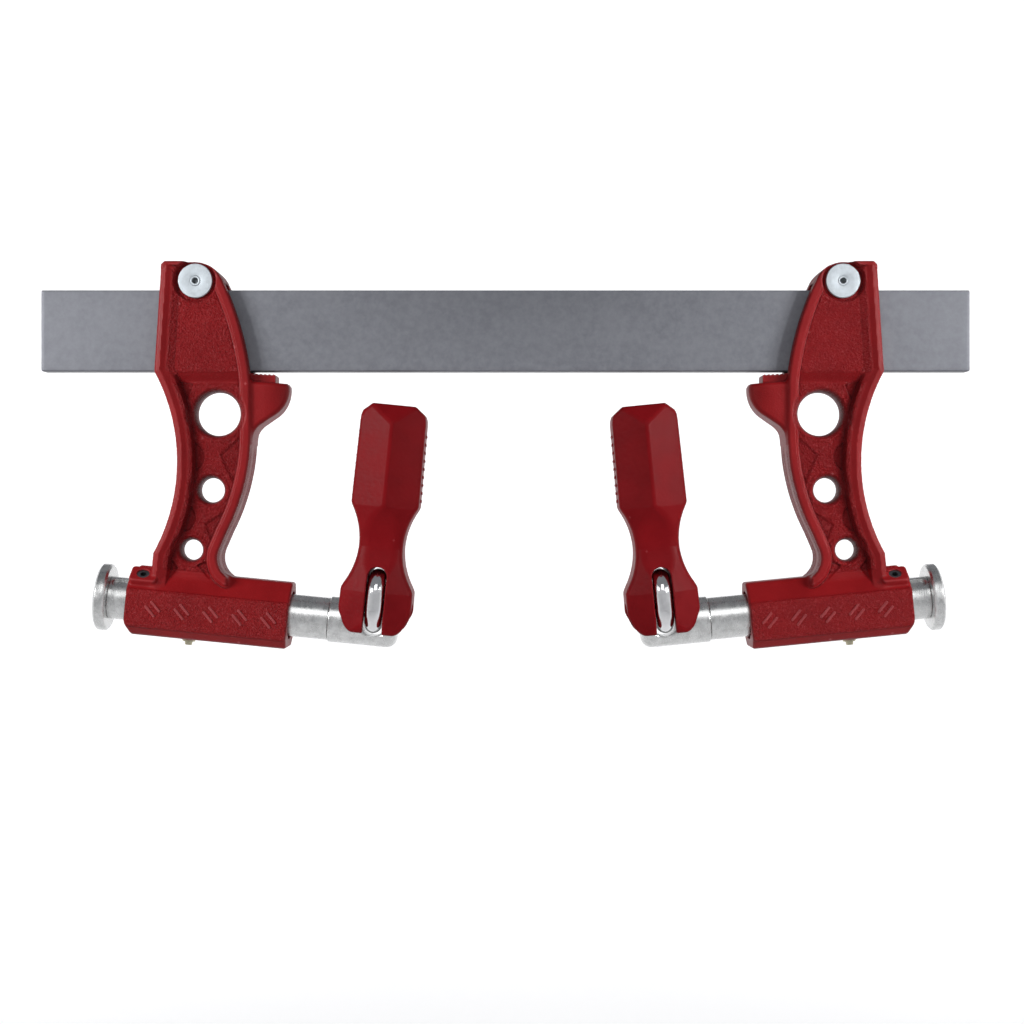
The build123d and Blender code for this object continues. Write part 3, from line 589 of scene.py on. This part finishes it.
def arm_half_thickness(x, z):
    """Half the arm's thickness at each place of its side view: rims, panel, web, pits and rings."""
    panel = smooth_step((z + 26.0) / 5.5)
    floor = WEB_HALF + (PANEL_HALF - WEB_HALF) * panel
    for hx, hz, r in HOLES:
        far = np.hypot(x - hx, z - hz)
        floor = floor + 0.45 * smooth_step((r + 3.8 - far) / 1.8)
    pit = np.minimum(*(np.hypot(x - px, z - pz) - r for px, pz, r in PITS))
    for corners in CORNER_PITS:
        pit = np.minimum(pit, polygon_distance(x, z, corners) - 0.4)
    hollow = np.minimum(*(polygon_distance(x, z, corners) for corners in HOLLOWS))
    floor = floor - PIT_DEPTH * smooth_step((0.7 - pit) / 2.4)
    floor = floor - HOLLOW_DEPTH * smooth_step((1.6 - hollow) / 3.4)
    left = line_distance(x, z, ARM_LEFT_SIDE)
    right = line_distance(x, z, ARM_RIGHT_EDGE)
    top = line_distance(x, z, ARM_TOP_EDGE)
    web_rim = np.interp(left, LEFT_RIM_AT, LEFT_RIM_WEB)
    panel_rim = np.interp(left, LEFT_RIM_AT, LEFT_RIM_PANEL)
    half = higher(floor, web_rim + (panel_rim - web_rim) * panel, 0.8)
    half = higher(half, np.interp(right, RIGHT_RIM_AT, RIGHT_RIM), 0.8)
    half = higher(half, 13.0 - 7.0 * np.clip((top - 2.0) / 1.6, 0, 1), 0.6)
    half = np.minimum(half, 13.0)
    spot = smooth_step((11.0 - np.hypot(x - AXLE[0], z - AXLE[2])) / 1.4)
    return half - np.maximum(half - 8.62, 0) * spot


def nose_half_width(x):
    return 10.8 - 4.6 * np.clip((x + 119.0) / 12.0, 0, 1.1) ** 2


def arm_body(x, y, z):
    x, z = x - SHIFT_X, z - SHIFT_Z
    side = np.abs(y)
    u, _, w = spindle_coordinates(x, y, z)
    outline = polygon_distance(x, z, ARM_OUTLINE)
    plate = round_cut(outline, (side - arm_half_thickness(x, z)) * 0.85, 1.3)
    # spindle housing
    housing = round_cut(w - 16.3, -w - 16.3, 1.0)
    for (ay, aw), (by, bw) in zip(HOUSING_CORNERS, HOUSING_CORNERS[1:]):
        length = np.hypot(by - ay, bw - aw)
        face = ((side - ay) * (aw - bw) + (w - aw) * (by - ay)) / length
        housing = round_cut(housing, face, 1.2)
    ends = round_cut(-u, u - HOUSING_LENGTH, 0.5)
    housing = round_cut(housing, ends, 1.3)
    housing = round_cut(housing, (-u - (w + 10.0) * 0.55) / 1.14, 1.0)
    body = round_join(plate, housing, 2.2)
    # nose under the bar
    nose = round_cut(polygon_distance(x, z, NOSE), (side - nose_half_width(x)) * 0.9, 2.2)
    body = round_join(body, nose, 2.0)
    # bosses of the set screws, and of the grease nipple
    lean = radians(SCREW_LEAN)
    out = w * cos(lean) + side * sin(lean)
    over = side * cos(lean) - w * sin(lean)
    boss = round_cut(np.abs(u - 7.4) - 6.7, np.abs(over) - 5.3, 2.0)
    boss = round_cut(boss, np.abs(out - 14.5) - 3.5, 0.8)
    body = round_join(body, boss, 0.8)
    body = round_join(body, round_cut(np.hypot(u - 30.4, y) - 4.4, np.abs(w + 15.0) - 2.0, 0.6), 0.8)
    # holes, slot and bores
    flare = 2.2 * np.clip(side / 7.4, 0, 1.2) ** 3  # the holes open out towards both faces
    for hx, hz, r in HOLES:
        body = round_cut(body, (r + flare - np.hypot(x - hx, z - hz)) * 0.85, 0.9)
    slot = np.maximum(polygon_distance(x, z, SLOT), side - 5.4)
    body = round_cut(body, -slot, 0.35)
    # serrated jaw
    along = x - JAW_START
    top = -21.15 - 0.05 * along
    saw = np.abs((along / TOOTH_PITCH) % 1.0 - 0.5) * 2
    teeth = z - top + TOOTH_HEIGHT * smooth_step(saw * 1.5 - 0.4)
    jaw = np.maximum(np.maximum(teeth * 0.8, -27.5 - z), np.maximum(JAW_START - x, x - JAW_END))
    jaw = round_cut(jaw, side - 6.5, 0.3)
    body = np.minimum(body, jaw)
    body = round_cut(body, 4.05 - np.hypot(x - AXLE[0] + SHIFT_X, z - AXLE[2] + SHIFT_Z), 0.2)
    ring = np.hypot(side, w)
    body = round_cut(body, 10.55 - ring, 0.35)
    body = np.maximum(body, -np.maximum(ring - 12.2, np.abs(u - 2.4) - 1.0))
    body = round_cut(body, -np.maximum(ring - 11.9, 72.0 - u), 0.3)
    body = round_cut(body, -np.maximum(np.hypot(u - 7.0, over) - 3.05, -out), 0.35)
    return round_cut(body, -np.maximum(np.hypot(u - 30.4, y) - 2.5, w), 0.2)


def arm_grit_and_shade(x, y, z):
    """How rough the casting is, 0 to 1: the pockets and the housing's flat sides are, the nose isn't.
    Above 1 is painted shade: the deepest places and the slope inside the left rim get up to 2, which the
    paint shows darker."""
    u, _, w = spindle_coordinates(x, y, z)
    side = np.abs(y)
    above = smooth_step((w - 16.5) / 1.5)
    pocket = smooth_step((12.0 - side) / 1.0) * smooth_step((side - 2.0) / 2.0) * above
    ramp = smooth_step((z - SHIFT_Z + 27.0) / 1.5) * smooth_step((-20.0 - z + SHIFT_Z) / 1.5)
    housing = smooth_step((side - 14.0) / 0.6) * smooth_step((9.5 - w) / 3.0)
    nose = smooth_step((x - SHIFT_X + 126.5) / 2.0) * smooth_step((-20.0 - z + SHIFT_Z) / 2.0)
    nose = nose * smooth_step((z - SHIFT_Z + 62.0) / 4.0)
    inward = -polygon_distance(x - SHIFT_X, z - SHIFT_Z, ARM_OUTLINE)
    left = line_distance(x - SHIFT_X, z - SHIFT_Z, ARM_LEFT_SIDE)
    # painted shadow: the slope inside the left rim, which the paint darkens
    slope = 0.75 * smooth_step((left - 7.0) / 0.6) * smooth_step((10.0 - left) / 0.6)
    slope = slope * smooth_step(10.6 - side)
    # painted shade: the deepest places get values above 1
    deep = np.maximum(smooth_step((6.8 - side) / 2.6), slope)
    deep = deep * smooth_step((inward - 4.0) / 1.5) * above
    return np.clip(np.maximum(pocket * (1 - 0.8 * ramp), housing) * (1 - nose) + 0.12, 0, 1) + deep


def arm_skin(x, y, z):
    """The arm with its sand-cast texture."""
    body = arm_body(x, y, z)
    _, _, w = spindle_coordinates(x, y, z)
    keep = smooth_step((np.hypot(y, w) - 12.6) / 1.2)  # none in the bore
    in_slot = smooth_step((np.abs(y) - 5.9) / 0.5)
    rough = ripple(x, y, z, 11, 1.5) + 0.4 * ripple(x, y, z, 12, 3.4)
    depth = 0.05 * np.minimum(arm_grit_and_shade(x, y, z), 1) * keep * in_slot
    return body + 0.008 + depth * np.maximum(rough * 0.8 + 0.9, 0)


ARM_BOX = (-192.0, -16.5, -164.5), (-102.0, 16.5, 35.5)
arm_mesh = field_mesh("arm_cast", arm_body, *ARM_BOX, 0.5, 500000, IN_PLACE, arm_skin, arm_grit_and_shade)
show_pair("arm_cast", arm_mesh, "arm", "arm", "cast_red")


def marks_body(u, y, w):
    """Plain raised strokes, in pairs, on the housing's two flat sides."""
    strokes = 9.0
    for i in range(5):
        for k in (-1.4, 1.4):
            du, dw = u - 14.0 - i * 14.2 - k * 0.9, w + 2.6 - k * 0.9
            lengthwise, across = (du - dw) * sqrt(0.5), (du + dw) * sqrt(0.5)
            strokes = np.minimum(strokes, np.hypot(np.maximum(np.abs(lengthwise) - 2.9, 0), across) - 0.6)
    return round_cut(strokes, np.abs(np.abs(y) - 14.85) - 0.6, 0.25)


def rough_all_over(u, y, w):
    return np.full(np.shape(u), 0.35)


MARKS_BOX = (9.0, -15.7, -8.0), (77.0, 15.7, 3.0)
marks_mesh = field_mesh("arm_marks", marks_body, *MARKS_BOX, 0.2, 90000, SPINDLE, None, rough_all_over)
# the strokes get the lighter paint, a painted highlight
show_pair("arm_marks", marks_mesh, "arm", "arm", "cast_red", "highlight_red")

# ------------------------------------------------------------------ handle
HANDLE_HEIGHTS = (-6.0, 16.0, 38.0, 58.0, 110.0)
HANDLE_RADII = (21.3, 21.3, 17.0, 20.0, 19.2)
half_profile = [(0, 108.6), (10.4, 108.6), (15.2, 104.8), (16.4, 102.6), (16.8, 99.9)]
half_profile += arc((17.2, 59.4), (10.9, 38.4), (18.2, 17.2), 20)
half_profile += arc((18.5, 7.0), (16.6, 1.0), (10.4, -4.6), 8)
HANDLE_PROFILE = half_profile + [(-a, b) for a, b in reversed(half_profile[1:])]
half_profile = [(0, 109.0), (12.0, 109.0), (20.0, 98.0)]
half_profile += arc((20.4, 58.5), (12.9, 40.0), (20.6, 21.0), 20) + [(21.2, 3.0), (15.0, -5.0)]
HANDLE_FACE = half_profile + [(-a, b) for a, b in reversed(half_profile[1:])]
NOTCH_R, CAVITY_R, LINK_SLOT, LINK_TOP = 11.5, 14.5, 4.75, 23.2


def handle_body(u, y, w):
    apothem = np.interp(w, HANDLE_HEIGHTS, HANDLE_RADII) * cos(radians(30))
    flat = np.abs(u) - apothem
    lean_a = np.abs(0.5 * u + sin(radians(60)) * y) - apothem
    lean_b = np.abs(0.5 * u - sin(radians(60)) * y) - apothem
    body = round_cut(flat, round_cut(lean_a, lean_b, 1.2), 1.4)
    body = round_cut(body, polygon_distance(u, w, HANDLE_PROFILE), 1.8)
    body = round_cut(body, polygon_distance(y, w, HANDLE_FACE), 1.2)
    # grip ribs on the two flat sides, each with a groove under it
    ribs, grooves = 9.0, 9.0
    for i in range(9):
        across = np.hypot(np.maximum(np.abs(y) - 3.2, 0), w - 62.5 - i * 4.0)
        ribs = np.minimum(ribs, across - 0.8)
        grooves = np.minimum(grooves, np.hypot(np.maximum(np.abs(y) - 4.2, 0), w - 64.5 - i * 4.0) - 0.7)
    body = round_cut(body, -np.maximum(grooves, apothem - 0.35 - np.abs(u)), 0.3)
    body = round_join(body, round_cut(ribs, np.abs(u) - apothem - 0.05, 0.3), 0.3)
    # cavity for the head, notches for its neck and its end, slot for the link
    cavity = np.maximum(np.hypot(u, w) - CAVITY_R, np.abs(y) - NOTCH_R)
    body = round_cut(body, -cavity, 0.3)
    notch = np.minimum(np.hypot(y, w) - NOTCH_R, np.maximum(np.abs(y) - NOTCH_R, w))
    body = round_cut(body, -notch, 0.9)
    slot_end = np.hypot(u, w - LINK_TOP - 0.45) - LINK_SLOT
    slot = np.minimum(slot_end, np.maximum(np.abs(u) - LINK_SLOT, w - LINK_TOP))
    body = round_cut(body, -slot, 0.9)
    return round_cut(body, -np.maximum(np.hypot(y, w - 16.8) - 2.0, u - 13.0), 0.25)


def handle_skin(u, y, w):
    grit = ripple(u, y, w, 21, 2.4)
    seam = 0.05 * np.exp(-((u / 0.45) ** 2)) * smooth_step((np.abs(y) - 12) / 1.0) * smooth_step((56 - w) / 4)
    return handle_body(u, y, w) + np.maximum(0.012 * (grit + 1) - seam, 0)


HANDLE_BOX = (-21.5, -22.5, -7.0), (21.5, 22.5, 111.0)
handle_mesh = field_mesh("handle_moulded", handle_body, *HANDLE_BOX, 0.5, 400000, AT_PIVOT, handle_skin)
show_pair("handle_moulded", handle_mesh, "handle", "handle", "moulded_red")

# ------------------------------------------------------------------ head, link and piston


def head_body(u, y, w):
    ring = np.hypot(y, w)
    body = round_cut(ring - 11.3, u - 12.0, 5.5)
    body = round_cut(body, -22.45 - u, 0.6)
    hole = np.hypot(u, w) - 5.9 - np.maximum(np.abs(y) - 9.2, 0) * 1.18
    body = round_cut(body, -hole * 0.8, 0.5)
    body = round_cut(body, -np.maximum(ring - 6.5, u + 10.5), 0.15)
    body = round_cut(body, 1.5 - np.hypot(u + 16.6, y), 0.15)
    # a turning line where the end's rounding starts
    return body + 0.10 * np.exp(-(((u - 6.6) / 0.22) ** 2)) * smooth_step((ring - 9) / 1.5)


HEAD_BOX = (-23.5, -12.2, -12.2), (13.0, 12.2, 12.2)
head_mesh = field_mesh("spindle_head", head_body, *HEAD_BOX, 0.3, 110000, AT_PIVOT)
show_pair("spindle_head", head_mesh, "screw", "t_head", "turned_steel")

LINK_HALF, LINK_R, LINK_BEND = 15.8, 4.3, 8.0


def link_body(u, y, w):
    a = np.abs(y) - (LINK_HALF - LINK_BEND)
    b = np.abs(w - LINK_TOP / 2) - (LINK_TOP / 2 - LINK_BEND)
    path = np.hypot(np.maximum(a, 0), np.maximum(b, 0)) + np.minimum(np.maximum(a, b), 0) - LINK_BEND
    dents = ripple(u, y, w, 31, 7.0, 16)
    return np.hypot(path, u) - LINK_R + 0.035 * np.maximum(1 + dents * 0.8, 0)


LINK_BOX = (-5.2, -21.0, -5.2), (5.2, 21.0, 28.6)
link_mesh = field_mesh("polished_link", link_body, *LINK_BOX, 0.3, 90000, AT_PIVOT)
show_pair("polished_link", link_mesh, "handle", "ring_link", "polished_steel")


def piston_body(u, y, w):
    ring = np.hypot(y, w)
    body = round_cut(ring - 10.5, -10.0 - u, 0.3)
    body = round_cut(body, u - 40.0, 0.5)
    spigot = round_cut(ring - 6.0, -15.5 - u, 0.5)
    body = np.minimum(body, np.maximum(spigot, u + 9.0))
    body = round_cut(body, -np.maximum(ring - 6.8, -6.0 - u), 0.2)
    body = round_cut(body, -np.maximum(ring - 8.6, 24.0 - u), 0.2)
    lean = radians(SCREW_LEAN)
    out = w * cos(lean) + np.abs(y) * sin(lean)
    over = np.abs(y) * cos(lean) - w * sin(lean)
    key = np.hypot(np.maximum(np.abs(u - 12.5) - 19.0, 0), over) - 2.5
    return round_cut(body, -np.maximum(key, 9.0 - out), 0.3)


PISTON_BOX = (-16.5, -11.4, -11.4), (41.0, 11.4, 11.4)
piston_mesh = field_mesh("piston_turned", piston_body, *PISTON_BOX, 0.32, 110000, SPINDLE)
show_pair("piston_turned", piston_mesh, "piston", "piston", "turned_steel")

# ------------------------------------------------------------------ turned parts of the spindle
PAD = [(-15.5, 6.02), (-15.5, 15.5), (-14.5, 16.5), (-11.0, 16.5), (-10.0, 15.5), (-10.0, 6.02)]
BUSH = [(58.0, 6.55), (58.0, 10.49), (99.0, 10.49), (99.0, 6.55)]
WASHER = [(56.0, 6.6), (56.0, 10.4), (58.0, 10.4), (58.0, 6.6)]
WIPER = [(1.5, 10.56), (1.5, 12.1), (3.3, 12.1), (3.3, 10.56)]
for name, corners, radius, body, node, slot in (
    ("pad_turned", PAD, 0.3, "piston", "pad_disc", "turned_steel"),
    ("bush_turned", BUSH, 0.4, "arm", "gland_bush", "turned_steel"),
    ("washer_bronze", WASHER, 0.2, "arm", "thrust_washer", "bronze"),
    ("wiper_lip", WIPER, 0.3, "arm", "wiper_ring", "rubber"),
):
    show_pair(name, turned_mesh(name, corners, SPINDLE, radius), body, node, slot)

# ------------------------------------------------------------------ axle
DISC = [(8.65, 2.52), (8.65, 8.5), (9.9, 8.5), (10.25, 8.2), (10.25, 2.52)]
for side, name in ((-1, "front"), (1, "back")):
    corners = [(side * a, r) for a, r in DISC]
    if side < 0:
        corners.reverse()
    show_pair(
        f"axle_washer_{name}",
        turned_mesh(f"axle_washer_{name}", corners, AT_AXLE, 0.2, axis=1),
        "carriage",
        f"axle_disc_{name}",
        "zinc_steel",
    )
PIN = [(-8.62, 2.52), (-8.62, 4.0), (8.62, 4.0), (8.62, 2.52)]
pin_mesh = turned_mesh("axle_tube", PIN, AT_AXLE, 0.2, 64, 1)
show_pair("axle_tube", pin_mesh, "carriage", "axle_pin", "dark_steel")
RIVET = [(-10.5, 1.55), (-10.55, 2.3), (-10.3, 2.5), (10.3, 2.5), (10.55, 2.3), (10.5, 1.55)]
RIVET += [(10.0, 1.4), (-10.0, 1.4)]
rivet_mesh = turned_mesh("rivet_flared", RIVET, AT_AXLE, 0.12, 64, 1)
show_pair("rivet_flared", rivet_mesh, "carriage", "axle_rivet", "zinc_steel")

# ------------------------------------------------------------------ bar
bar_low, bar_high = (np.array(corner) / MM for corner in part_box("bar"))


def bar_mesh():
    """A drawn flat bar: soft edges, and a skin that is a few hundredths of a millimetre uneven."""
    half_y, half_z = (bar_high[1] - bar_low[1]) / 2, (bar_high[2] - bar_low[2]) / 2
    radius = 0.7
    loop = []
    corners = ((1, 1), (-1, 1), (-1, -1), (1, -1))
    for i, (sy, sz) in enumerate(corners):
        centre = np.array((sy * (half_y - radius), sz * (half_z - radius)))
        start = {(1, 1): 0, (-1, 1): 90, (-1, -1): 180, (1, -1): 270}[(sy, sz)]
        for k in range(5):
            angle = radians(start + 90 * k / 4)
            loop.append(centre + radius * np.array((cos(angle), sin(angle))))
        ny, nz = corners[(i + 1) % 4]
        following = np.array((ny * (half_y - radius), nz * (half_z - radius)))
        angle = radians(start + 90)
        offset = radius * np.array((cos(angle), sin(angle)))
        a, b = centre + offset, following + offset
        pieces = max(2, int(np.hypot(*(b - a)) / 1.4))
        loop += [a + (b - a) * t for t in np.linspace(0, 1, pieces + 1)[1:-1]]
    loop = np.array(loop)
    middle = (bar_low + bar_high) / 2
    length = bar_high[0] - bar_low[0]
    soft = 0.5
    stations = [(0.0, soft), (0.15, soft * 0.3), (soft, 0.0)]
    inner = np.linspace(soft, length - soft, int(length / 1.4))[1:-1]
    stations += [(s, 0.0) for s in inner] + [(length - s, i) for s, i in reversed(stations)]
    verts = []
    for s, inset in stations:
        shrink = np.array(((half_y - inset) / half_y, (half_z - inset) / half_z))
        ring = loop * shrink
        x = np.full(len(ring), bar_low[0] + s)
        verts.append(np.column_stack((x, ring[:, 0] + middle[1], ring[:, 1] + middle[2])))
    co = np.concatenate(verts)
    uneven = 0.018 * (1 + 0.5 * (ripple(*co.T, 41, 9.0, 18) + ripple(*co.T, 42, 3.2, 18)))
    pull = np.clip(uneven, 0, 0.06)
    co[:, 1] -= np.sign(co[:, 1] - middle[1]) * pull
    n = len(loop)
    faces = []
    for i in range(len(stations) - 1):
        for k in range(n):
            faces.append((i * n + k, i * n + (k + 1) % n, (i + 1) * n + (k + 1) % n, (i + 1) * n + k))
    faces.append(tuple(range(n)))
    faces.append(tuple(range((len(stations) - 1) * n, len(stations) * n)))
    mesh = bpy.data.meshes.new("bar_drawn")
    mesh.from_pydata((co * MM).tolist(), [], faces)
    outward(mesh)
    mesh.shade_smooth()
    mesh.set_sharp_from_angle(angle=radians(40))
    return mesh


show("bar_drawn", bar_mesh(), "bar", "bar", "bar_steel")

# ------------------------------------------------------------------ CAD nodes that are shown as they are
CARRIED = {
    "set_screws": "dark_steel",
    "grease_nipple": "yellow_zinc",
    "nipple_ball": "polished_steel",
    "drive_nut": "bronze",
    "lead_screw": "dark_steel",
    "head_dowel": "dark_steel",
    "cross_pin": "dark_steel",
}
for stem, slot in CARRIED.items():
    for side in ("left", "right"):
        part = frame["nodes"][f"{stem}_{side}"]
        part.data.materials.clear()
        part.data.materials.append(MATERIALS[slot])

# ------------------------------------------------------------------ floor, light and camera
shown_low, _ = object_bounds()
FLOOR_Z = shown_low[2] - 0.30


def backdrop():
    """One pale bowl: a round floor that curves up into a low wall on every side. It glows, more behind the
    object
    than in front of it: a painted glow standing in for paper lit by lamps, which lights the object as well."""
    reach, bend, height, around = 2.0, 0.6, 1.25, 96
    section = [(r, 0.0) for r in (0.3, 0.7, reach - bend)]
    section += [(reach - bend + bend * sin(t), bend - bend * cos(t)) for t in np.linspace(0, pi / 2, 20)[1:]]
    section += [(reach, height)]
    verts = [(0.0, 0.0, FLOOR_Z)]
    for r, z in section:
        for k in range(around):
            verts.append((r * cos(2 * pi * k / around), r * sin(2 * pi * k / around), FLOOR_Z + z))
    faces = [(0, 1 + k, 1 + (k + 1) % around) for k in range(around)]
    for i in range(len(section) - 1):
        a, b = 1 + i * around, 1 + (i + 1) * around
        for k in range(around):
            n = (k + 1) % around
            faces.append((a + k, b + k, b + n, a + n))
    mesh = bpy.data.meshes.new("backdrop")
    mesh.from_pydata(verts, [], faces)
    mesh.shade_smooth()
    sheet = bpy.data.objects.new("backdrop", mesh)
    bpy.context.scene.collection.objects.link(sheet)
    s = Shader("pale_backdrop")
    s.set(Base_Color=s.mix(s.noise(3.0), colour(0.80, 0.80, 0.805), colour(0.82, 0.82, 0.825)), Roughness=0.9)
    # painted glow, stronger towards the back
    s.set(Emission_Color=colour(1.0, 1.0, 1.0), Emission_Strength=s.spread(s.part(1), -0.7, 0.5, 0.13, 0.62))
    s.skin.inputs["Specular IOR Level"].default_value = 0.1
    mesh.materials.append(s.material)
    return sheet


backdrop()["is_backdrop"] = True

world = bpy.data.worlds.new("studio")
bpy.context.scene.world = world
world.use_nodes = True
world.node_tree.nodes["Background"].inputs["Color"].default_value = colour(0.93, 0.95, 1.0)
world.node_tree.nodes["Background"].inputs["Strength"].default_value = 0.25


def hang(name, data, place, target):
    """Puts a light in place, aimed at target and unseen by the camera."""
    made = bpy.data.objects.new(name, data)
    made.location = place
    made.rotation_mode = "QUATERNION"
    made.rotation_quaternion = (Vector(target) - Vector(place)).to_track_quat("-Z", "Y")
    made.visible_camera = False
    bpy.context.scene.collection.objects.link(made)
    made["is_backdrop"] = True


def lamp(name, place, target, size, power):
    """A soft box."""
    data = bpy.data.lights.new(name, "AREA")
    data.shape = "RECTANGLE"
    data.size, data.size_y = size
    data.energy = power
    hang(name, data, place, target)


def spot(name, place, target, power, radius, cone):
    """A lamp with a soft-edged beam."""
    data = bpy.data.lights.new(name, "SPOT")
    data.energy = power
    data.shadow_soft_size = radius
    data.spot_size = radians(cone)
    data.spot_blend = 0.6
    hang(name, data, place, target)


lamp("key", (0.0, -1.05, 0.53), (0.0, 0.0, -0.08), (0.8, 0.62), 3.0)
SPOT_REACH, SPOT_HEIGHT, SPOT_POWER = 0.75, 0.12, 8.8
for side, name in ((-1, "left"), (1, "right")):
    middle = TURN_X * MM + side * 0.155
    for step, angle in enumerate((40.0, 49.0, 58.0)):
        across, back = SPOT_REACH * sin(radians(angle)), SPOT_REACH * cos(radians(angle))
        place = (middle + side * across, -back, SPOT_HEIGHT)
        spot(f"{name}_{step}", place, (middle, 0.0, -0.06), SPOT_POWER, 0.04, 22.0)

camera_data = bpy.data.cameras.new("camera")
camera_data.lens = 58.7
camera_data.sensor_width = 36.0
camera = bpy.data.objects.new("camera", camera_data)
camera.location = (0.0032, -0.830, -0.0896)
camera.rotation_euler = (pi / 2, 0, 0)
bpy.context.scene.collection.objects.link(camera)
bpy.context.scene.camera = camera
bpy.context.scene.view_settings.view_transform = "Standard"
